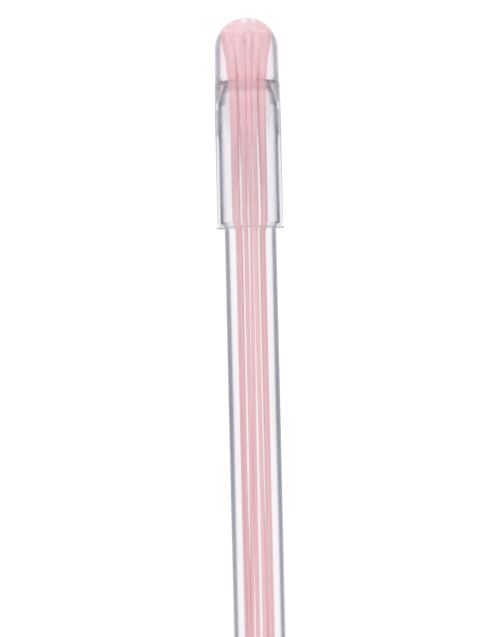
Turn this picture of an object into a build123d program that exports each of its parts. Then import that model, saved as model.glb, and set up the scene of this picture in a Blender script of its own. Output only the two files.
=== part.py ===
from build123d import *
import math
import os

# Slim lip gloss tube with a push-fit cap and a wand of pink strands. Millimetres, +Z up.
# The foot stands on Z = 0 and every round part shares the Z axis.

# ---- driving dimensions ----
TOTAL_HEIGHT = 120.0

BARREL_R = 4.0
BARREL_BORE_R = 3.38
BARREL_BOTTOM_Z = 2.0
BARREL_RIM_Z = 110.2
NECK_R = 4.62
NECK_BORE_R = 3.90
NECK_STEP_Z = 87.7
NECK_BORE_STEP_Z = 88.6
MOUTH_BORE_R = 3.08
MOUTH_LEDGE_Z = 103.2
SHOULDER_Z = 106.9
SHOULDER_ARC_R = 4.35

GRIP_GROOVE_R = 4.30
GRIP_GROOVE_LOW_Z = 101.0
GRIP_GROOVE_HIGH_Z = 106.5
GRIP_RING_BORE_R = 4.33
GRIP_RING_EDGE_R = 4.60
GRIP_RING_CREST_R = 4.67
GRIP_RING_END_GAP = 0.05

CAP_MOUTH_Z = 87.4
CAP_MOUTH_R = 5.11
CAP_WAIST_R = 5.08
CAP_WAIST_Z = 107.0
CAP_DOME_R = 4.92
CAP_BORE_R = 4.70
CAP_CONE_LOW_Z = 108.2
CAP_CONE_HIGH_Z = 110.6
HEAD_R = 4.33
CAP_LIP_R = 5.20
CAP_LIP_HEIGHT = 0.35
DOME_BORE_CENTRE_Z = 115.02

HEAD_BOTTOM_Z = 110.5
COLLAR_TOP_Z = 112.0
COLLAR_BORE_R = 3.2
COLLAR_SEAT_R = 4.54
SEAT_GAP = 0.1

STEM_BOTTOM_Z = 23.5
CORE_R = 0.9
CORE_SPIGOT_R = 0.5
CORE_SPIGOT_LENGTH = 2.0

BUNDLE_RISE_LOW_Z = 87.0
BUNDLE_RISE_HIGH_Z = 88.2
# Height and outer radius of the strand bundle: slim in the barrel, wider in the neck,
# flaring like a trumpet inside the dome.
BUNDLE_ENVELOPE = [
    (23.5, 1.59),
    (BUNDLE_RISE_LOW_Z, 1.59),
    (BUNDLE_RISE_HIGH_Z, 1.90),
    (103.0, 1.93),
    (108.0, 1.99),
    (112.0, 2.09),
    (115.0, 2.42),
    (117.2, 2.84),
]
STRAND_TOP_Z = 117.2
STRAND_STEP = 3.6
STRAND_RING_SHARE = 0.82
STRAND_WIDTH_SHARE = 0.35
GLOSS_INDEX = 1.47

# Light passes between the strands through six slits, seen from -Y. Each slit drifts evenly from
# its lower to its upper offset from the axis, and opens and closes on the way. Offsets and
# widths are shares of the bundle's radius.
SLIT_LOWER_OFFSETS = (-0.73, -0.49, -0.27, 0.12, 0.53, 0.76)
SLIT_UPPER_OFFSETS = (-0.74, -0.47, -0.02, 0.20, 0.51, 0.76)
SLIT_HEIGHTS = (23.5, 36.0, 50.0, 69.0, 87.0, 97.0, 102.0, 117.2)
SLIT_WIDTHS = (
    (0.11, 0.11, 0.10, 0.04, 0.01, 0.01, 0.01, 0.01),
    (0.01, 0.08, 0.14, 0.15, 0.14, 0.14, 0.07, 0.01),
    (0.12, 0.04, 0.01, 0.06, 0.12, 0.01, 0.01, 0.01),
    (0.21, 0.20, 0.18, 0.08, 0.05, 0.05, 0.01, 0.01),
    (0.04, 0.09, 0.14, 0.15, 0.14, 0.17, 0.07, 0.01),
    (0.08, 0.07, 0.02, 0.02, 0.06, 0.01, 0.01, 0.01),
)
SLIT_SHUT_WIDTH = 0.01
SLIT_OPEN_WIDTH = 0.05
SLIT_ROOM_OFFSET = 0.65
STRANDS_AT_EACH_EDGE = 2

WIPER_ORIFICE_R = 2.15
WIPER_BEAD_R = 3.28
WIPER_BOTTOM_Z = 102.4
WIPER_TOP_Z = 109.5
WIPER_TOP_BORE_R = 2.85

GLOSS_BOTTOM_Z = 9.0
GLOSS_TOP_Z = 102.2
WAND_WELL_R = 2.15
WAND_WELL_BOTTOM_Z = 10.3

PLUG_TOP_Z = 9.0
SEAL_Z = 5.5
SEAL_MINOR_R = 0.45
SEAL_GROOVE_HEIGHT = 0.96

FOOT_R = 5.1
FOOT_HEIGHT = 12.0
FOOT_EDGE_R = 0.7

FERRULE_R = 1.63
FERRULE_HEIGHT = 1.2
SHANK_R = 0.75
SHANK_BOTTOM_Z = 15.0
FLOCK_R = 1.72
FLOCK_BOTTOM_Z = 11.3
FLOCK_SLANT_DEG = 20.0

os.makedirs("parts", exist_ok=True)


def finish(part, name):
    part.label = name
    export_step(part, "parts/" + name + ".step")


# ---- barrel: clear tube with a wider neck, rounded shoulder, narrow mouth and ring groove ----
with BuildPart() as barrel:
    with BuildSketch(Plane.XZ):
        with BuildLine():
            Polyline(
                (MOUTH_BORE_R, BARREL_RIM_Z),
                (MOUTH_BORE_R, MOUTH_LEDGE_Z),
                (NECK_BORE_R, MOUTH_LEDGE_Z - 0.6),
                (NECK_BORE_R, NECK_BORE_STEP_Z + 0.8),
                (BARREL_BORE_R, NECK_BORE_STEP_Z),
                (BARREL_BORE_R, BARREL_BOTTOM_Z),
                (BARREL_R, BARREL_BOTTOM_Z),
                (BARREL_R, NECK_STEP_Z),
                (NECK_R, NECK_STEP_Z + 0.6),
                (NECK_R, GRIP_GROOVE_LOW_Z),
                (GRIP_GROOVE_R, GRIP_GROOVE_LOW_Z),
                (GRIP_GROOVE_R, GRIP_GROOVE_HIGH_Z),
                (NECK_R, GRIP_GROOVE_HIGH_Z),
                (NECK_R, SHOULDER_Z),
            )
            RadiusArc((NECK_R, SHOULDER_Z), (MOUTH_BORE_R, BARREL_RIM_Z), -SHOULDER_ARC_R)
        make_face()
    revolve(axis=Axis.Z)
finish(barrel.part, "barrel")

# ---- grip ring: crowned band in the neck groove, on which the cap bore is held ----
with BuildPart() as grip_ring:
    ring_low = GRIP_GROOVE_LOW_Z + GRIP_RING_END_GAP
    ring_high = GRIP_GROOVE_HIGH_Z - GRIP_RING_END_GAP
    ring_middle = (ring_low + ring_high) / 2
    with BuildSketch(Plane.XZ):
        with BuildLine():
            Polyline(
                (GRIP_RING_EDGE_R, ring_high),
                (GRIP_RING_BORE_R, ring_high),
                (GRIP_RING_BORE_R, ring_low),
                (GRIP_RING_EDGE_R, ring_low),
            )
            ThreePointArc(
                (GRIP_RING_EDGE_R, ring_low),
                (GRIP_RING_CREST_R, ring_middle),
                (GRIP_RING_EDGE_R, ring_high),
            )
        make_face()
    revolve(axis=Axis.Z)
finish(grip_ring.part, "grip_ring")

# ---- cap shell: hemispherical dome, slightly tapered skirt, small flared lip at the mouth ----
with BuildPart() as cap_shell:
    dome_base_z = TOTAL_HEIGHT - CAP_DOME_R
    diagonal = math.sqrt(0.5)
    with BuildSketch(Plane.XZ):
        with BuildLine():
            ThreePointArc(
                (0, TOTAL_HEIGHT),
                (CAP_DOME_R * diagonal, dome_base_z + CAP_DOME_R * diagonal),
                (CAP_DOME_R, dome_base_z),
            )
            Polyline(
                (CAP_DOME_R, dome_base_z),
                (CAP_WAIST_R, CAP_WAIST_Z),
                (CAP_MOUTH_R, CAP_MOUTH_Z + 2 * CAP_LIP_HEIGHT),
                (CAP_LIP_R, CAP_MOUTH_Z + CAP_LIP_HEIGHT),
                (CAP_LIP_R, CAP_MOUTH_Z),
                (CAP_BORE_R + 0.1, CAP_MOUTH_Z),
                (CAP_BORE_R, CAP_MOUTH_Z + 0.15),
                (CAP_BORE_R, CAP_CONE_LOW_Z),
                (HEAD_R, CAP_CONE_HIGH_Z),
                (HEAD_R, DOME_BORE_CENTRE_Z),
            )
            ThreePointArc(
                (HEAD_R, DOME_BORE_CENTRE_Z),
                (HEAD_R * diagonal, DOME_BORE_CENTRE_Z + HEAD_R * diagonal),
                (0, DOME_BORE_CENTRE_Z + HEAD_R),
            )
            Line((0, DOME_BORE_CENTRE_Z + HEAD_R), (0, TOTAL_HEIGHT))
        make_face()
    revolve(axis=Axis.Z)
finish(cap_shell.part, "cap_shell")

# ---- stem collar: wedge ring that seats on the barrel's shoulder and stops the cap ----
with BuildPart() as stem_collar:
    with BuildSketch(Plane.XZ):
        with BuildLine():
            Polyline(
                (COLLAR_SEAT_R, CAP_CONE_LOW_Z),
                (CAP_BORE_R, CAP_CONE_LOW_Z),
                (HEAD_R, CAP_CONE_HIGH_Z),
                (HEAD_R, COLLAR_TOP_Z),
                (COLLAR_BORE_R, COLLAR_TOP_Z),
                (COLLAR_BORE_R, BARREL_RIM_Z + SEAT_GAP),
            )
            RadiusArc(
                (COLLAR_SEAT_R, CAP_CONE_LOW_Z),
                (COLLAR_BORE_R, BARREL_RIM_Z + SEAT_GAP),
                -(SHOULDER_ARC_R + SEAT_GAP),
            )
        make_face()
    revolve(axis=Axis.Z)
finish(stem_collar.part, "stem_collar")


# ---- strands: slim rods in a ring, each filling one sector between two slits ----
def between(z, heights, values):
    """Value at height z, running straight between the listed heights."""
    for low in range(len(heights) - 1):
        if z <= heights[low + 1]:
            share = (z - heights[low]) / (heights[low + 1] - heights[low])
            return values[low] + (values[low + 1] - values[low]) * share
    return values[-1]


def envelope_at(z):
    heights = [row[0] for row in BUNDLE_ENVELOPE]
    radii = [row[1] for row in BUNDLE_ENVELOPE]
    return between(z, heights, radii)


def slit_edges(z, slit, side):
    """Start and end angle of a slit's gap on the front (-1) or rear (1) half, counted from -X.

    The barrel bends the sight line towards the axis, so the rear gap sits nearer the middle.
    Round strands hide part of an open gap that faces sideways, so that gap is made wider,
    except beside the bundle's edges, where there is no room for it.
    """
    drift = (z - STEM_BOTTOM_Z) / (STRAND_TOP_Z - STEM_BOTTOM_Z)
    lower, upper = SLIT_LOWER_OFFSETS[slit], SLIT_UPPER_OFFSETS[slit]
    offset = lower + (upper - lower) * drift
    width = between(z, SLIT_HEIGHTS, SLIT_WIDTHS[slit])
    reach = offset * envelope_at(z)
    bend = math.asin(GLOSS_INDEX * reach / BARREL_R) - math.asin(reach / BARREL_R)
    from_sight_line = math.asin(offset / STRAND_RING_SHARE)
    facing = math.cos(from_sight_line)
    openness = min(1, (width - SLIT_SHUT_WIDTH) / SLIT_OPEN_WIDTH)
    hidden = 0
    if abs(offset) < SLIT_ROOM_OFFSET:
        hidden = STRAND_WIDTH_SHARE * (1 - facing) * openness
    half_gap = (width + hidden) / (2 * STRAND_RING_SHARE * max(0.45, facing))
    middle = math.pi / 2 + from_sight_line - side * bend
    return middle - half_gap, middle + half_gap


def strand_sectors(z):
    """Start and end angle of every strand's sector at height z, counter-clockwise from -X."""
    front = [slit_edges(z, slit, -1) for slit in range(len(SLIT_WIDTHS))]
    rear = [slit_edges(z, slit, 1) for slit in range(len(SLIT_WIDTHS))]
    rear = [(2 * math.pi - end, 2 * math.pi - start) for start, end in reversed(rear)]
    gaps = front + rear
    sectors = []
    for gap, following in zip(gaps, gaps[1:] + gaps[:1]):
        start, end = gap[1], following[0]
        if end < start:
            end += 2 * math.pi
        at_edge = gap in (front[-1], rear[-1])
        count = STRANDS_AT_EACH_EDGE if at_edge else 1
        for piece in range(count):
            sectors.append(
                (start + (end - start) * piece / count, start + (end - start) * (piece + 1) / count)
            )
    return sectors


def even_heights(low, high):
    """Heights from low to high in even steps of about STRAND_STEP."""
    steps = round((high - low) / STRAND_STEP)
    return [low + (high - low) * step / steps for step in range(steps + 1)]


def make_strand(index):
    """Loft one strand through circles, each inscribed in the strand's sector at that height."""
    in_barrel = even_heights(STEM_BOTTOM_Z, BUNDLE_RISE_LOW_Z)
    in_neck = even_heights(BUNDLE_RISE_HIGH_Z, STRAND_TOP_Z)
    with BuildPart() as strand:
        for z in in_barrel + in_neck:
            start, end = strand_sectors(z)[index]
            sine = math.sin((end - start) / 2 - 0.004)
            strand_r = envelope_at(z) * sine / (1 + sine)
            reach = envelope_at(z) - strand_r
            angle = math.pi + (start + end) / 2
            with BuildSketch(Plane.XY.offset(z)):
                with Locations((reach * math.cos(angle), reach * math.sin(angle))):
                    Circle(strand_r)
        loft(ruled=True)
    return strand.part


strands = []
for strand_index in range(len(strand_sectors(STEM_BOTTOM_Z))):
    strands.append(make_strand(strand_index))
for number, strand_solid in enumerate(strands, start=1):
    finish(strand_solid, "stem_strand_%02d" % number)

# ---- stem head: dome-shaped plug that fills the cap's dome and holds the strands' upper ends ----
with BuildPart() as stem_head:
    with BuildSketch(Plane.XZ):
        with BuildLine():
            Polyline(
                (0, DOME_BORE_CENTRE_Z + HEAD_R),
                (0, HEAD_BOTTOM_Z),
                (COLLAR_BORE_R, HEAD_BOTTOM_Z),
                (COLLAR_BORE_R, COLLAR_TOP_Z),
                (HEAD_R, COLLAR_TOP_Z),
                (HEAD_R, DOME_BORE_CENTRE_Z),
            )
            ThreePointArc(
                (HEAD_R, DOME_BORE_CENTRE_Z),
                (HEAD_R * diagonal, DOME_BORE_CENTRE_Z + HEAD_R * diagonal),
                (0, DOME_BORE_CENTRE_Z + HEAD_R),
            )
        make_face()
    revolve(axis=Axis.Z)
    for strand_solid in strands:
        add(strand_solid, mode=Mode.SUBTRACT)
finish(stem_head.part, "stem_head")

# ---- stem core: clear rod up the middle of the strands, with a spigot for the applicator ----
with BuildPart() as stem_core:
    with BuildSketch(Plane.XY.offset(STEM_BOTTOM_Z)):
        Circle(CORE_R)
    extrude(amount=HEAD_BOTTOM_Z - STEM_BOTTOM_Z)
    with BuildSketch(Plane.XY.offset(STEM_BOTTOM_Z)):
        Circle(CORE_SPIGOT_R)
    extrude(amount=-CORE_SPIGOT_LENGTH)
finish(stem_core.part, "stem_core")

# ---- applicator core: ferrule below the strands, with the shank that carries the flock ----
with BuildPart() as applicator_core:
    ferrule_bottom_z = STEM_BOTTOM_Z - FERRULE_HEIGHT
    with BuildSketch(Plane.XY.offset(STEM_BOTTOM_Z)):
        Circle(FERRULE_R)
    extrude(amount=-FERRULE_HEIGHT)
    with BuildSketch(Plane.XY.offset(ferrule_bottom_z)):
        Circle(SHANK_R)
    extrude(amount=SHANK_BOTTOM_Z - ferrule_bottom_z)
    with BuildSketch(Plane.XY.offset(STEM_BOTTOM_Z)):
        Circle(CORE_SPIGOT_R)
    extrude(amount=-CORE_SPIGOT_LENGTH, mode=Mode.SUBTRACT)
finish(applicator_core.part, "applicator_core")

# ---- applicator flock: round-ended sleeve with the slanted doe-foot face on the +X side ----
with BuildPart() as applicator_flock:
    with BuildSketch(Plane.XZ):
        with BuildLine():
            Polyline(
                (0, FLOCK_BOTTOM_Z),
                (0, SHANK_BOTTOM_Z),
                (SHANK_R, SHANK_BOTTOM_Z),
                (SHANK_R, ferrule_bottom_z),
                (FLOCK_R - 0.2, ferrule_bottom_z),
                (FLOCK_R, ferrule_bottom_z - 1.0),
                (FLOCK_R, FLOCK_BOTTOM_Z + 3.4),
            )
            Bezier(
                (FLOCK_R, FLOCK_BOTTOM_Z + 3.4),
                (FLOCK_R, FLOCK_BOTTOM_Z + 1.0),
                (1.1, FLOCK_BOTTOM_Z),
                (0, FLOCK_BOTTOM_Z),
            )
        make_face()
    revolve(axis=Axis.Z)
    slant = Plane.XY.rotated((0, FLOCK_SLANT_DEG - 90, 0)).offset(1.15)
    slant.origin = (1.25, 0, FLOCK_BOTTOM_Z + 3.0)
    split(bisect_by=slant, keep=Keep.TOP)
finish(applicator_flock.part, "applicator_flock")

# ---- wiper: soft funnel in the mouth with a retaining bead under the ledge ----
with BuildPart() as wiper:
    with BuildSketch(Plane.XZ):
        with BuildLine():
            Polyline(
                (MOUTH_BORE_R, WIPER_TOP_Z),
                (MOUTH_BORE_R, MOUTH_LEDGE_Z),
                (WIPER_BEAD_R, MOUTH_LEDGE_Z - 0.35),
                (WIPER_BEAD_R, WIPER_BOTTOM_Z + 0.2),
                (WIPER_BEAD_R - 0.2, WIPER_BOTTOM_Z),
                (WIPER_ORIFICE_R, WIPER_BOTTOM_Z),
                (WIPER_ORIFICE_R, MOUTH_LEDGE_Z),
                (WIPER_TOP_BORE_R, WIPER_TOP_Z),
                close=True,
            )
        make_face()
    revolve(axis=Axis.Z)
finish(wiper.part, "wiper")

# ---- gloss: filling of the barrel, with the well in which the wand stands ----
with BuildPart() as gloss:
    with BuildSketch(Plane.XZ):
        with BuildLine():
            Polyline(
                (0, GLOSS_BOTTOM_Z),
                (BARREL_BORE_R, GLOSS_BOTTOM_Z),
                (BARREL_BORE_R, NECK_BORE_STEP_Z),
                (NECK_BORE_R, NECK_BORE_STEP_Z + 0.8),
                (NECK_BORE_R, GLOSS_TOP_Z),
                (WAND_WELL_R, GLOSS_TOP_Z),
                (WAND_WELL_R, WAND_WELL_BOTTOM_Z),
                (0, WAND_WELL_BOTTOM_Z),
                close=True,
            )
        make_face()
    revolve(axis=Axis.Z)
finish(gloss.part, "gloss")

# ---- base plug: closes the barrel's lower end and carries the seal in a groove ----
with BuildPart() as base_plug:
    with BuildSketch(Plane.XY.offset(BARREL_BOTTOM_Z)):
        Circle(BARREL_BORE_R)
    extrude(amount=PLUG_TOP_Z - BARREL_BOTTOM_Z)
    with BuildSketch(Plane.XY.offset(SEAL_Z - SEAL_GROOVE_HEIGHT / 2)):
        Circle(BARREL_BORE_R)
        Circle(BARREL_BORE_R - 2 * SEAL_MINOR_R, mode=Mode.SUBTRACT)
    extrude(amount=SEAL_GROOVE_HEIGHT, mode=Mode.SUBTRACT)
finish(base_plug.part, "base_plug")

# ---- base seal: O-ring in the plug's groove ----
with BuildPart() as base_seal:
    with BuildSketch(Plane.XZ):
        with Locations((BARREL_BORE_R - SEAL_MINOR_R, SEAL_Z)):
            Circle(SEAL_MINOR_R)
    revolve(axis=Axis.Z)
finish(base_seal.part, "base_seal")

# ---- foot: flat-bottomed sleeve round the barrel's lower end ----
with BuildPart() as foot:
    with BuildSketch(Plane.XY):
        Circle(FOOT_R)
    extrude(amount=FOOT_HEIGHT)
    fillet(foot.edges().filter_by(GeomType.CIRCLE), FOOT_EDGE_R)
    with BuildSketch(Plane.XY.offset(BARREL_BOTTOM_Z)):
        Circle(BARREL_R)
    extrude(amount=FOOT_HEIGHT - BARREL_BOTTOM_Z, mode=Mode.SUBTRACT)
finish(foot.part, "foot")
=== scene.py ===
import math
import random

import bmesh
import bpy
from mathutils import Matrix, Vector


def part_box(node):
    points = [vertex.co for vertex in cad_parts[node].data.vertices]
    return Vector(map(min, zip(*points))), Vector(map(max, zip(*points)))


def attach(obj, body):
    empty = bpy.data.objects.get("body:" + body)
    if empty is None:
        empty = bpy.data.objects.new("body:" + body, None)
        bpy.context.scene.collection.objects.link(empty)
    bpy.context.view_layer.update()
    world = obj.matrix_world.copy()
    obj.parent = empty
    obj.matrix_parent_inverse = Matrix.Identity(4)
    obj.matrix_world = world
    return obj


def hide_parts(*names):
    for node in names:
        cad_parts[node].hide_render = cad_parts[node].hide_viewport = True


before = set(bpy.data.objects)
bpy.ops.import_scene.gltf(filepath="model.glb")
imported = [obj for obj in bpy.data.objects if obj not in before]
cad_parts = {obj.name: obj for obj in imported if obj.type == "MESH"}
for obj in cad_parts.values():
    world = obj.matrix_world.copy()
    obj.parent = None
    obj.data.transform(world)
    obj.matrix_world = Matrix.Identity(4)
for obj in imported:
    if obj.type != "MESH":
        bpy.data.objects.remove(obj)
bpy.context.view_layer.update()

# ---- driving dimensions, in millimetres unless they say otherwise ----
MM = 0.001
LATHE_STEPS = 128
OVERLAP = 0.02

TOP_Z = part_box("cap_shell")[1].z / MM
CAP_MOUTH_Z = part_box("cap_shell")[0].z / MM
RIM_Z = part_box("barrel")[1].z / MM
BARREL_BOTTOM_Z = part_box("barrel")[0].z / MM
NECK_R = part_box("barrel")[1].x / MM
STEM_BOTTOM_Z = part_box("stem_strand_01")[0].z / MM
HEAD_TOP_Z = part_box("stem_head")[1].z / MM
HEAD_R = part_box("stem_head")[1].x / MM
GLOSS_BOTTOM_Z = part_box("gloss")[0].z / MM
NECK_BORE_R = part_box("gloss")[1].x / MM
BARREL_BORE_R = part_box("base_plug")[1].x / MM
FOOT_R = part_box("foot")[1].x / MM
FOOT_TOP_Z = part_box("foot")[1].z / MM

BARREL_R = 4.0
NECK_STEP_Z = 87.7
NECK_BORE_STEP_Z = 88.6
CAP_BORE_R = 4.70
CAP_CONE_LOW_Z = 108.2
CAP_CONE_HIGH_Z = 110.6
MOUTH_BORE_R = 3.08
SHOULDER_Z = 106.9
SHOULDER_ARC_R = 4.35
LEDGE_Z = 103.2
LEDGE_CONE_LOW_Z = LEDGE_Z - 1.6
LEDGE_CONE_HIGH_Z = LEDGE_Z + 0.6
NECK_STEP_TOP_Z = NECK_STEP_Z + 0.6
BORE_CONE_HIGH_Z = NECK_BORE_STEP_Z + 1.2
BARREL_MIDDLE_Z = 60.0
HEAD_EDGE_R = MOUTH_BORE_R - 0.01
HEAD_EDGE_Z = RIM_Z - 0.10
HEAD_POINT_R = 0.95
HEAD_POINT_Z = 107.6
GEL_TOP_Z = RIM_Z - 0.02
WIPER_TOP_Z = 107.4
WIPER_BORE_R = 2.15
WIPER_LIP_THICKNESS = 0.09
MASS_R = 2.9
MASS_BOTTOM_Z = 115.8
FOOT_EDGE_R = 0.7
FOOT_CLEARANCE = 0.03
CAP_LIP_R = 5.20
CAP_MOUTH_R = 5.11
CAP_WAIST_R = 5.08
CAP_WAIST_Z = 107.0
CAP_DOME_R = 4.92
DOME_BORE_CENTRE_Z = HEAD_TOP_Z - HEAD_R

CAMERA_DISTANCE = 600.0
FRAME_HEIGHT_MM = 98.5
FRAME_TOP_MARGIN_MM = 2.75
ROLL_DEG = 1.32
CAMERA_X = -1.16
FLOOR_R = 220.0


# ---- shape helpers ----
def arc(radius, centre_z, start_deg, end_deg, steps=20, centre_r=0.0, height=None):
    """Points (r, z) along an arc; height gives an ellipse its own vertical radius."""
    height = radius if height is None else height
    points = []
    for step in range(steps + 1):
        angle = math.radians(start_deg + (end_deg - start_deg) * step / steps)
        points.append((centre_r + radius * math.cos(angle), centre_z + height * math.sin(angle)))
    return points


def shoulder_outline(inset):
    """Outline of the barrel's rounded shoulder up to the mouth, moved inwards by an inset."""
    radius = SHOULDER_ARC_R - inset
    centre_r = NECK_R - SHOULDER_ARC_R
    end_deg = math.degrees(math.acos((MOUTH_BORE_R - centre_r) / radius))
    return arc(radius, SHOULDER_Z, 0, end_deg, 20, centre_r)


def lathe(name, profile, body, node_names, steps=LATHE_STEPS, closed=False):
    """Revolve (r, z) points about the Z axis into a piece that stands for the given CAD nodes."""
    mesh = bpy.data.meshes.new(name)
    build = bmesh.new()
    rings = []
    for radius, z in profile:
        if radius < 1e-6:
            rings.append([build.verts.new((0, 0, z * MM))])
            continue
        ring = []
        for step in range(steps):
            angle = 2 * math.pi * step / steps
            x = radius * MM * math.cos(angle)
            y = radius * MM * math.sin(angle)
            ring.append(build.verts.new((x, y, z * MM)))
        rings.append(ring)
    pairs = list(zip(rings, rings[1:]))
    if closed:
        pairs.append((rings[-1], rings[0]))
    for lower, upper in pairs:
        for step in range(steps):
            after = (step + 1) % steps
            corners = [lower[step % len(lower)], lower[after % len(lower)]]
            corners += [upper[after % len(upper)], upper[step % len(upper)]]
            unique = list(dict.fromkeys(corners))
            if len(unique) >= 3:
                build.faces.new(unique)
    bmesh.ops.recalc_face_normals(build, faces=build.faces)
    build.to_mesh(mesh)
    build.free()
    return finish_piece(name, mesh, body, node_names)


def finish_piece(name, mesh, body, node_names, crease_deg=35):
    """Smooth the mesh, keep its sharp edges, and tie the piece to its body and CAD nodes."""
    mesh.polygons.foreach_set("use_smooth", [True] * len(mesh.polygons))
    piece = bpy.data.objects.new(name, mesh)
    bpy.context.scene.collection.objects.link(piece)
    mesh.set_sharp_from_angle(angle=math.radians(crease_deg))
    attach(piece, body)
    if node_names:
        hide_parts(*node_names)
    return piece


# ---- material helpers ----
def new_material(name):
    material = bpy.data.materials.new(name)
    material.use_nodes = True
    return material, material.node_tree, material.node_tree.nodes["Principled BSDF"]


def object_noise(tree, scale, stretch=(1, 1, 1), detail=3.0):
    """Noise in the piece's own space, stretched along its axes."""
    coords = tree.nodes.new("ShaderNodeTexCoord")
    mapping = tree.nodes.new("ShaderNodeMapping")
    mapping.inputs["Scale"].default_value = stretch
    noise = tree.nodes.new("ShaderNodeTexNoise")
    noise.inputs["Scale"].default_value = scale
    noise.inputs["Detail"].default_value = detail
    tree.links.new(coords.outputs["Object"], mapping.inputs["Vector"])
    tree.links.new(mapping.outputs["Vector"], noise.inputs["Vector"])
    return noise


def ramp(tree, source, low, high, low_at=0.35, high_at=0.65):
    """Colour ramp between two colours, driven by a float output."""
    node = tree.nodes.new("ShaderNodeValToRGB")
    node.color_ramp.elements[0].position = low_at
    node.color_ramp.elements[0].color = (*low, 1)
    node.color_ramp.elements[1].position = high_at
    node.color_ramp.elements[1].color = (*high, 1)
    tree.links.new(source, node.inputs["Fac"])
    return node


def add_bump(tree, shader, source, strength, distance):
    bump = tree.nodes.new("ShaderNodeBump")
    bump.inputs["Strength"].default_value = strength
    bump.inputs["Distance"].default_value = distance
    tree.links.new(source, bump.inputs["Height"])
    tree.links.new(bump.outputs["Normal"], shader.inputs["Normal"])


def multiply(tree, first, second):
    """Product of two colours."""
    node = tree.nodes.new("ShaderNodeMixRGB")
    node.blend_type = "MULTIPLY"
    node.inputs["Fac"].default_value = 1.0
    tree.links.new(first, node.inputs["Color1"])
    tree.links.new(second, node.inputs["Color2"])
    return node.outputs["Color"]


def clear_material(name, ior, low, high, scale, stretch, bump=0.0, roughness=0.0, painted_edge_shade=None):
    """Clear plastic or gel with a faint drifting tint; an optional darker colour is painted where the
    surface is seen at a glance, as painted shade along its outline.
    """
    material, tree, shader = new_material(name)
    shader.inputs["Transmission Weight"].default_value = 1.0
    shader.inputs["IOR"].default_value = ior
    shader.inputs["Roughness"].default_value = roughness
    noise = object_noise(tree, scale, stretch)
    tint = ramp(tree, noise.outputs["Fac"], low, high).outputs["Color"]
    if painted_edge_shade:
        # Painted shade: the tint darkens towards the outline where the surface is seen at a glance.
        glance = tree.nodes.new("ShaderNodeLayerWeight")
        glance.inputs["Blend"].default_value = 0.5
        edge_shade_ramp = ramp(tree, glance.outputs["Facing"], (1, 1, 1), painted_edge_shade, 0.35, 0.65)
        tint = multiply(tree, tint, edge_shade_ramp.outputs["Color"])
    tree.links.new(tint, shader.inputs["Base Color"])
    if bump > 0:
        add_bump(tree, shader, noise.outputs["Fac"], bump, 0.0004)
    return material


def solid_material(name, low, high, scale, stretch, roughness, bump=0.0):
    """Opaque plastic or rubber whose colour drifts along the piece."""
    material, tree, shader = new_material(name)
    shader.inputs["Roughness"].default_value = roughness
    noise = object_noise(tree, scale, stretch)
    tint = ramp(tree, noise.outputs["Fac"], low, high)
    tree.links.new(tint.outputs["Color"], shader.inputs["Base Color"])
    if bump > 0:
        add_bump(tree, shader, noise.outputs["Fac"], bump, 0.0002)
    return material, tree, shader


def height_share(tree, low_z, high_z):
    """Share of the way from low_z to high_z, in millimetres, up the piece."""
    coords = tree.nodes.new("ShaderNodeTexCoord")
    split = tree.nodes.new("ShaderNodeSeparateXYZ")
    tree.links.new(coords.outputs["Object"], split.inputs[0])
    height = tree.nodes.new("ShaderNodeMapRange")
    height.inputs["From Min"].default_value = low_z * MM
    height.inputs["From Max"].default_value = high_z * MM
    tree.links.new(split.outputs["Z"], height.inputs["Value"])
    return height.outputs["Result"]


def paint(piece, material):
    piece.data.materials.clear()
    piece.data.materials.append(material)


def let_light_in(piece):
    """Clear pieces let lamps light what they hold."""
    piece.visible_shadow = False


# ---- materials ----
# RING_IOR is lower than silicone's, which keeps the edge of the neck clean. The three indices
# after it are relative to the gel or casting that surrounds the piece.
BARREL_IOR = 1.48
GEL_IOR = 1.47
RING_IOR = 1.05
INSIDE_GEL_IOR = 1.012
COLLAR_IOR = 1.01
MASS_IOR = 1.02
HEAD_MILK_LOW_Z = 110.3
HEAD_MILK_HIGH_Z = 112.0
HEAD_CLEAR_SHARE = 0.86

# The edge colours of the barrel, foot and cap are painted shade along their outlines.
barrel_clear = clear_material(
    "barrel_clear", BARREL_IOR, (0.975, 0.98, 0.985), (0.99, 0.99, 0.995), 90, (1, 1, 0.15),
    bump=0.02, painted_edge_shade=(0.60, 0.61, 0.66),
)
foot_clear = clear_material(
    "foot_clear", BARREL_IOR, (0.93, 0.885, 0.90), (0.96, 0.92, 0.935), 110, (1, 1, 0.3),
    bump=0.03, painted_edge_shade=(0.60, 0.56, 0.60),
)
cap_clear = clear_material(
    "cap_clear", BARREL_IOR, (0.97, 0.965, 0.975), (0.99, 0.985, 0.99), 110, (1, 1, 0.3),
    bump=0.03, painted_edge_shade=(0.90, 0.87, 0.89),
)
gel = clear_material("gel", GEL_IOR, (1.0, 0.965, 0.97), (1.0, 0.985, 0.985), 120, (1, 1, 0.2))
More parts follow.
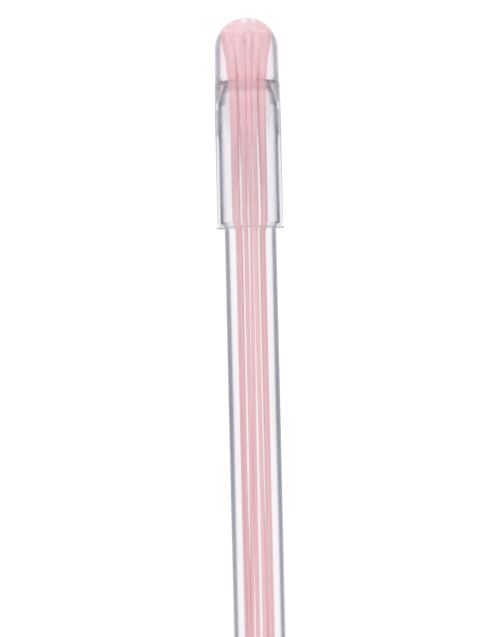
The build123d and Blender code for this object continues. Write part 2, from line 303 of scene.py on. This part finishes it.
# The head is clear where it meets the barrel and turns slightly milky and pink above it.
head_clear = clear_material(
    "head_clear", GEL_IOR, (0.96, 0.88, 0.895), (0.98, 0.92, 0.93), 300, (1, 1, 0.4)
)
head_tree = head_clear.node_tree
head_shader = head_tree.nodes["Principled BSDF"]
head_height = height_share(head_tree, HEAD_MILK_LOW_Z, HEAD_MILK_HIGH_Z)
head_milk = ramp(head_tree, head_height, (1.0, 1.0, 1.0), (HEAD_CLEAR_SHARE,) * 3, 0.0, 1.0)
head_tree.links.new(head_milk.outputs["Color"], head_shader.inputs["Transmission Weight"])
head_tint = head_tree.nodes.new("ShaderNodeMixRGB")
head_tint.inputs["Color1"].default_value = (1, 1, 1, 1)
head_tree.links.new(head_height, head_tint.inputs["Fac"])
head_tree.links.new(head_shader.inputs["Base Color"].links[0].from_socket, head_tint.inputs["Color2"])
head_tree.links.new(head_tint.outputs["Color"], head_shader.inputs["Base Color"])
collar_pink = clear_material(
    "collar_pink", COLLAR_IOR, (0.985, 0.92, 0.93), (0.99, 0.95, 0.955), 400, (1, 1, 0.5)
)
# The wiper lip's edge colour is painted shade along its outline.
funnel_clear = clear_material(
    "funnel_clear", INSIDE_GEL_IOR, (0.99, 0.98, 0.98), (1.0, 0.995, 0.995), 200, (1, 1, 0.1),
    painted_edge_shade=(0.50, 0.46, 0.52),
)
dome_mass, mass_tree, mass_shader = solid_material(
    "dome_mass", (0.86, 0.73, 0.75), (0.92, 0.80, 0.82), 700, (1, 1, 0.2), 0.3
)
mass_shader.inputs["IOR"].default_value = MASS_IOR
mass_height = height_share(mass_tree, 115.9, 117.8)
mass_clear = ramp(mass_tree, mass_height, (1.0, 1.0, 1.0), (0.45, 0.45, 0.45), 0.1, 1.0)
mass_tree.links.new(mass_clear.outputs["Color"], mass_shader.inputs["Transmission Weight"])
air_bubble = clear_material(
    "air_bubble", 1 / GEL_IOR, (0.98, 0.97, 0.97), (1.0, 1.0, 1.0), 2000, (1, 1, 1)
)
inner_clear = clear_material(
    "inner_clear", INSIDE_GEL_IOR, (0.99, 0.98, 0.98), (1.0, 0.995, 0.995), 200, (1, 1, 0.1)
)
silicone_clear = clear_material(
    "silicone_clear", RING_IOR, (0.96, 0.965, 0.97), (0.985, 0.985, 0.99), 150, (1, 1, 1), bump=0.05
)

strand_pink, strand_tree, strand_shader = solid_material(
    "strand_pink", (0.86, 0.50, 0.54), (0.96, 0.64, 0.67), 900, (1, 1, 0.012), 0.28, bump=0.15
)
# Painted light: a faint glow brightens the strands seen through the clear pieces.
strand_shader.inputs["Emission Color"].default_value = (0.90, 0.50, 0.54, 1)
strand_shader.inputs["Emission Strength"].default_value = 0.12
# Painted shade: the strands darken from 25 mm up towards the cap.
strand_height = height_share(strand_tree, 25.0, 100.0)
strand_upper_shade = ramp(strand_tree, strand_height, (1.0, 1.0, 1.0), (0.92, 0.88, 0.89), 0.0, 1.0)
strand_base = strand_shader.inputs["Base Color"].links[0].from_socket
strand_tree.links.new(
    multiply(strand_tree, strand_base, strand_upper_shade.outputs["Color"]), strand_shader.inputs["Base Color"]
)
plug_pink, _, _ = solid_material(
    "plug_pink", (0.86, 0.62, 0.64), (0.92, 0.70, 0.72), 500, (1, 1, 1), 0.45, bump=0.1
)
seal_pale, _, _ = solid_material(
    "seal_pale", (0.75, 0.66, 0.66), (0.82, 0.73, 0.73), 800, (1, 1, 1), 0.55, bump=0.1
)
flock_pink, _, _ = solid_material(
    "flock_pink", (0.80, 0.50, 0.53), (0.93, 0.70, 0.72), 5000, (1, 1, 1), 0.95, bump=0.9
)

# ---- barrel: clear tube with its rounded shoulder ----
barrel_profile = [
    (BARREL_BORE_R, BARREL_BOTTOM_Z),
    (BARREL_R, BARREL_BOTTOM_Z),
    (BARREL_R, BARREL_MIDDLE_Z),
    (BARREL_R, NECK_STEP_Z),
    (NECK_R, NECK_STEP_TOP_Z),
    (NECK_R, SHOULDER_Z),
]
barrel_profile += shoulder_outline(0)[1:]
barrel_profile += [
    (MOUTH_BORE_R, LEDGE_CONE_HIGH_Z),
    (NECK_BORE_R, LEDGE_CONE_LOW_Z),
    (NECK_BORE_R, BORE_CONE_HIGH_Z),
    (BARREL_BORE_R, NECK_BORE_STEP_Z),
    (BARREL_BORE_R, BARREL_MIDDLE_Z),
]
barrel = lathe("barrel_tube", barrel_profile, "barrel", ["barrel"], closed=True)
paint(barrel, barrel_clear)
let_light_in(barrel)

# ---- gel: fills the barrel up to the head's tapered point, overlapping the bore a little ----
gel_profile = [
    (0, GLOSS_BOTTOM_Z - OVERLAP),
    (BARREL_BORE_R + OVERLAP, GLOSS_BOTTOM_Z - OVERLAP),
    (BARREL_BORE_R + OVERLAP, NECK_BORE_STEP_Z),
    (NECK_BORE_R + OVERLAP, BORE_CONE_HIGH_Z),
    (NECK_BORE_R + OVERLAP, LEDGE_CONE_LOW_Z),
    (MOUTH_BORE_R + OVERLAP, LEDGE_CONE_HIGH_Z),
    (MOUTH_BORE_R + OVERLAP, GEL_TOP_Z),
    (HEAD_POINT_R, HEAD_POINT_Z + OVERLAP),
    (0, HEAD_POINT_Z + OVERLAP),
]
gloss = lathe("gloss_fill", gel_profile, "barrel", ["gloss"])
paint(gloss, gel)
let_light_in(gloss)

# ---- grip ring: the soft swelling round the neck ----
ring_low, ring_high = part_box("grip_ring")[0].z / MM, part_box("grip_ring")[1].z / MM
ring_profile = []
for step in range(25):
    share = step / 24
    swell = min(1.0, 1.6 * math.sin(math.pi * share) ** 0.7)
    crest = CAP_BORE_R + OVERLAP - NECK_R
    ring_profile.append((NECK_R - 0.01 + crest * swell, ring_low + (ring_high - ring_low) * share))
ring_profile += [(NECK_R - 0.04, ring_high), (NECK_R - 0.04, ring_low)]
grip_ring = lathe("grip_ring_band", ring_profile, "grip_ring", ["grip_ring"], closed=True)
paint(grip_ring, silicone_clear)
let_light_in(grip_ring)

# ---- cap shell ----
dome_base_z = TOP_Z - CAP_DOME_R
cap_profile = arc(CAP_DOME_R, dome_base_z, 90, 0, 40)
cap_profile[0] = (0, TOP_Z)
cap_profile += [
    (CAP_WAIST_R, CAP_WAIST_Z),
    (CAP_MOUTH_R, CAP_MOUTH_Z + 0.9),
    (CAP_LIP_R - 0.03, CAP_MOUTH_Z + 0.45),
    (CAP_LIP_R, CAP_MOUTH_Z + 0.25),
    (CAP_LIP_R - 0.01, CAP_MOUTH_Z + 0.06),
    (CAP_LIP_R - 0.06, CAP_MOUTH_Z),
    (CAP_BORE_R + 0.12, CAP_MOUTH_Z),
    (CAP_BORE_R + 0.03, CAP_MOUTH_Z + 0.06),
    (CAP_BORE_R, CAP_MOUTH_Z + 0.2),
    (CAP_BORE_R, CAP_CONE_LOW_Z),
    (HEAD_R, CAP_CONE_HIGH_Z),
]
cap_profile += arc(HEAD_R, DOME_BORE_CENTRE_Z, 0, 90, 40)
cap_profile[-1] = (0, HEAD_TOP_Z)
cap_shell = lathe("cap_dome_shell", cap_profile, "cap", ["cap_shell"])
paint(cap_shell, cap_clear)
let_light_in(cap_shell)

# ---- stem head: pink casting that fills the dome and follows the shoulder down to the neck ----
# A film of gloss in the collar's seat joins head and shoulder, so they touch here.
head_profile = arc(HEAD_R + OVERLAP, DOME_BORE_CENTRE_Z, 90, 0, 40)
head_profile[0] = (0, HEAD_TOP_Z + OVERLAP)
head_profile += [
    (HEAD_R + OVERLAP, CAP_CONE_HIGH_Z),
    (CAP_BORE_R + OVERLAP, CAP_CONE_LOW_Z),
    (CAP_BORE_R + OVERLAP, SHOULDER_Z),
]
head_profile += shoulder_outline(OVERLAP)
head_profile += [(HEAD_EDGE_R, HEAD_EDGE_Z), (HEAD_POINT_R, HEAD_POINT_Z), (0, HEAD_POINT_Z)]
stem_head = lathe("stem_head_plug", head_profile, "cap", ["stem_head"])
paint(stem_head, head_clear)
let_light_in(stem_head)


# ---- stem collar: pinker wedge inside the casting, above the barrel's mouth ----
collar_profile = [
    (2.15, 112.3),
    (2.75, 110.6),
    (3.2, 109.0),
    (2.85, 108.5),
    (2.55, 109.4),
    (2.2, 110.5),
]
collar = lathe("stem_collar_wedge", collar_profile, "cap", ["stem_collar"], closed=True)
paint(collar, collar_pink)
let_light_in(collar)

# ---- pale mass in the top of the dome, round the strands' upper ends ----
mass_profile = arc(MASS_R, DOME_BORE_CENTRE_Z, 90, 24, 20)
mass_profile[0] = (0, DOME_BORE_CENTRE_Z + MASS_R)
mass_profile += [(2.45, MASS_BOTTOM_Z), (0, MASS_BOTTOM_Z)]
mass = lathe("stem_head_mass", mass_profile, "cap", [])
paint(mass, dome_mass)
let_light_in(mass)


# ---- trapped air bubbles ----
def bubble(name, radius, azimuth_deg, distance, z, body, stretch=1.0):
    mesh = bpy.data.meshes.new(name)
    build = bmesh.new()
    bmesh.ops.create_uvsphere(build, u_segments=20, v_segments=12, radius=radius * MM)
    turn = math.radians(azimuth_deg)
    place = Matrix.Translation((distance * MM * math.sin(turn), -distance * MM * math.cos(turn), z * MM))
    bmesh.ops.transform(build, matrix=place @ Matrix.Diagonal((1, 1, stretch, 1)), verts=build.verts)
    build.to_mesh(mesh)
    build.free()
    piece = finish_piece(name, mesh, body, [])
    paint(piece, air_bubble)
    let_light_in(piece)


for number, (azimuth_deg, distance, z) in enumerate(
    [(-64, 2.6, 118.2), (-72, 3.6, 117.0), (-50, 3.2, 117.3), (62, 3.3, 117.6), (8, 2.9, 117.4)], start=1
):
    bubble("head_bubble_%d" % number, 0.16 + 0.02 * (number % 3), azimuth_deg, distance, z, "cap")

dice = random.Random(7)
for number in range(1, 19):
    radius = dice.uniform(0.03, 0.07)
    azimuth_deg = dice.choice((-11, 0, 12)) + dice.uniform(-4, 4)
    z = dice.uniform(96.5, 102.5)
    stretch = dice.uniform(1.5, 4.0)
    bubble("neck_bubble_%02d" % number, radius, azimuth_deg, 2.05, z, "barrel", stretch=stretch)

# ---- strands: the CAD's own rods, painted ----
for name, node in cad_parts.items():
    if name.startswith("stem_strand"):
        paint(node, strand_pink)

# ---- stem core and wiper: clear pieces that lie inside the gel ----
core_low, core_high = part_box("stem_core")
core_r = core_high.x / MM
core_profile = [
    (0, core_low.z / MM),
    (0.5, core_low.z / MM),
    (0.5, STEM_BOTTOM_Z),
    (core_r, STEM_BOTTOM_Z),
    (core_r, core_high.z / MM - 0.6),
    (core_r - 0.3, core_high.z / MM),
    (0, core_high.z / MM),
]
stem_core = lathe("stem_core_rod", core_profile, "cap", ["stem_core"], steps=48)
paint(stem_core, inner_clear)
let_light_in(stem_core)

wiper_low, wiper_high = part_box("wiper")
wiper_profile = [
    (MOUTH_BORE_R - 0.02, WIPER_TOP_Z),
    (MOUTH_BORE_R - 0.02, LEDGE_Z),
    (wiper_high.x / MM, LEDGE_Z - 0.35),
    (wiper_high.x / MM, wiper_low.z / MM + 0.2),
    (wiper_high.x / MM - 0.2, wiper_low.z / MM),
    (WIPER_BORE_R, wiper_low.z / MM),
    (WIPER_BORE_R, LEDGE_Z),
    (2.3, 104.6),
]
wiper = lathe("wiper_funnel", wiper_profile, "barrel", ["wiper"], closed=True)
paint(wiper, inner_clear)
let_light_in(wiper)

lip_outside = [(3.02, 106.5), (2.87, 107.9), (2.6, 109.0), (2.26, RIM_Z - 0.05)]
lip_inside = [(radius - WIPER_LIP_THICKNESS, z) for radius, z in reversed(lip_outside)]
wiper_lip = lathe("wiper_lip", lip_outside + lip_inside, "barrel", [], closed=True)
paint(wiper_lip, funnel_clear)
let_light_in(wiper_lip)

# ---- foot: clear sleeve round the barrel's lower end ----
foot_profile = [(0, 0), (FOOT_R - FOOT_EDGE_R, 0)]
foot_profile += arc(FOOT_EDGE_R, FOOT_EDGE_R, -90, 0, 8, FOOT_R - FOOT_EDGE_R)
foot_profile += arc(FOOT_EDGE_R, FOOT_TOP_Z - FOOT_EDGE_R, 0, 90, 8, FOOT_R - FOOT_EDGE_R)
foot_profile += [(BARREL_R + 0.1, FOOT_TOP_Z), (BARREL_R + FOOT_CLEARANCE, FOOT_TOP_Z - 0.1)]
foot_profile += [
    (BARREL_R + FOOT_CLEARANCE, BARREL_BOTTOM_Z - FOOT_CLEARANCE),
    (0, BARREL_BOTTOM_Z - FOOT_CLEARANCE),
]
foot = lathe("foot_sleeve", foot_profile, "barrel", ["foot"])
paint(foot, foot_clear)
let_light_in(foot)

# ---- pieces that keep their CAD shape ----
paint(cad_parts["base_plug"], plug_pink)
paint(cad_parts["applicator_core"], plug_pink)
paint(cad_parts["base_seal"], seal_pale)
paint(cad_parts["applicator_flock"], flock_pink)

# ---- floor: a pale round table top ----
floor_mesh = bpy.data.meshes.new("floor")
floor_build = bmesh.new()
bmesh.ops.create_circle(floor_build, cap_ends=True, segments=128, radius=FLOOR_R * MM)
floor_build.to_mesh(floor_mesh)
floor_build.free()
floor = bpy.data.objects.new("floor", floor_mesh)
bpy.context.scene.collection.objects.link(floor)
floor_white, _, floor_shader = solid_material(
    "floor_white", (0.95, 0.95, 0.95), (0.97, 0.97, 0.97), 8, (1, 1, 1), 0.9
)
floor_shader.inputs["Specular IOR Level"].default_value = 0.0
floor_shader.inputs["Emission Color"].default_value = (1, 1, 1, 1)
floor_shader.inputs["Emission Strength"].default_value = 0.06
floor.data.materials.append(floor_white)

# ---- light: white sky with darker stretches left and right of the backdrop ----
world = bpy.data.worlds.new("studio")
bpy.context.scene.world = world
world.use_nodes = True
tree = world.node_tree
tree.nodes.clear()
output = tree.nodes.new("ShaderNodeOutputWorld")
coords = tree.nodes.new("ShaderNodeTexCoord")
split = tree.nodes.new("ShaderNodeSeparateXYZ")
tree.links.new(coords.outputs["Generated"], split.inputs[0])


def math_node(operation, first, second=None, value=None):
    node = tree.nodes.new("ShaderNodeMath")
    node.operation = operation
    tree.links.new(first, node.inputs[0])
    if second is not None:
        tree.links.new(second, node.inputs[1])
    if value is not None:
        node.inputs[1].default_value = value
    return node.outputs[0]


azimuth = math_node("ARCTAN2", split.outputs["X"], split.outputs["Y"])
turn = math_node("DIVIDE", math_node("ABSOLUTE", azimuth), value=math.pi)
sky = tree.nodes.new("ShaderNodeValToRGB")
tree.links.new(turn, sky.inputs["Fac"])
WHITE = (0.92, 0.915, 0.92)
DARK = (0.28, 0.30, 0.36)
SIDE = (0.85, 0.86, 0.88)
stops = [(0, WHITE), (39, WHITE), (47, DARK), (66, DARK), (78, SIDE), (180, SIDE)]
sky.color_ramp.elements[0].position = 0
sky.color_ramp.elements[0].color = (*WHITE, 1)
sky.color_ramp.elements[1].position = 1
sky.color_ramp.elements[1].color = (*SIDE, 1)
for degrees, colour in stops[1:-1]:
    element = sky.color_ramp.elements.new(degrees / 180)
    element.color = (*colour, 1)
overhead = math_node("GREATER_THAN", math_node("ABSOLUTE", split.outputs["Z"]), value=0.5)
around = tree.nodes.new("ShaderNodeMixRGB")
around.inputs["Color2"].default_value = (1, 1, 1, 1)
tree.links.new(overhead, around.inputs["Fac"])
tree.links.new(sky.outputs["Color"], around.inputs["Color1"])
lit = tree.nodes.new("ShaderNodeBackground")
lit.inputs["Strength"].default_value = 1.05
tree.links.new(around.outputs["Color"], lit.inputs["Color"])
seen = tree.nodes.new("ShaderNodeBackground")
seen.inputs["Color"].default_value = (1, 1, 1, 1)
seen.inputs["Strength"].default_value = 1.05
path = tree.nodes.new("ShaderNodeLightPath")
choose = tree.nodes.new("ShaderNodeMixShader")
tree.links.new(path.outputs["Is Camera Ray"], choose.inputs[0])
tree.links.new(lit.outputs[0], choose.inputs[1])
tree.links.new(seen.outputs[0], choose.inputs[2])
tree.links.new(choose.outputs[0], output.inputs["Surface"])


def soft_lamp(name, location_mm, size_mm, power):
    """Area lamp aimed at the middle of the tube; clear pieces don't show it."""
    data = bpy.data.lights.new(name, "AREA")
    data.size = size_mm * MM
    data.energy = power
    lamp = bpy.data.objects.new(name, data)
    bpy.context.scene.collection.objects.link(lamp)
    place = Matrix.Translation([v * MM for v in location_mm])
    direction = Matrix.Translation((0, 0, 0.07)).translation - place.translation
    lamp.matrix_world = place @ direction.to_track_quat("-Z", "Y").to_matrix().to_4x4()
    lamp.visible_camera = False
    lamp.visible_transmission = False


soft_lamp("lamp_left", (-450, -500, 350), 350, 0.5)
soft_lamp("lamp_right", (450, -500, 350), 350, 0.4)

# ---- camera: level with the tube, rolled so that the tube leans a little to the left ----
camera_data = bpy.data.cameras.new("camera")
camera_data.sensor_width = 36
camera_data.lens = 36 * CAMERA_DISTANCE / FRAME_HEIGHT_MM
camera = bpy.data.objects.new("camera", camera_data)
bpy.context.scene.collection.objects.link(camera)
bpy.context.scene.camera = camera
camera_z = TOP_Z + FRAME_TOP_MARGIN_MM - FRAME_HEIGHT_MM / 2
place = Matrix.Translation((CAMERA_X * MM, -CAMERA_DISTANCE * MM, camera_z * MM))
level = Matrix.Rotation(math.radians(90), 4, "X")
camera.matrix_world = place @ level @ Matrix.Rotation(math.radians(-ROLL_DEG), 4, "Z")

# ---- render settings that the look depends on ----
cycles = bpy.context.scene.cycles
cycles.max_bounces = 32
cycles.transmission_bounces = 32
cycles.glossy_bounces = 16
cycles.diffuse_bounces = 6
cycles.transparent_max_bounces = 24
bpy.context.scene.view_settings.view_transform = "Standard"
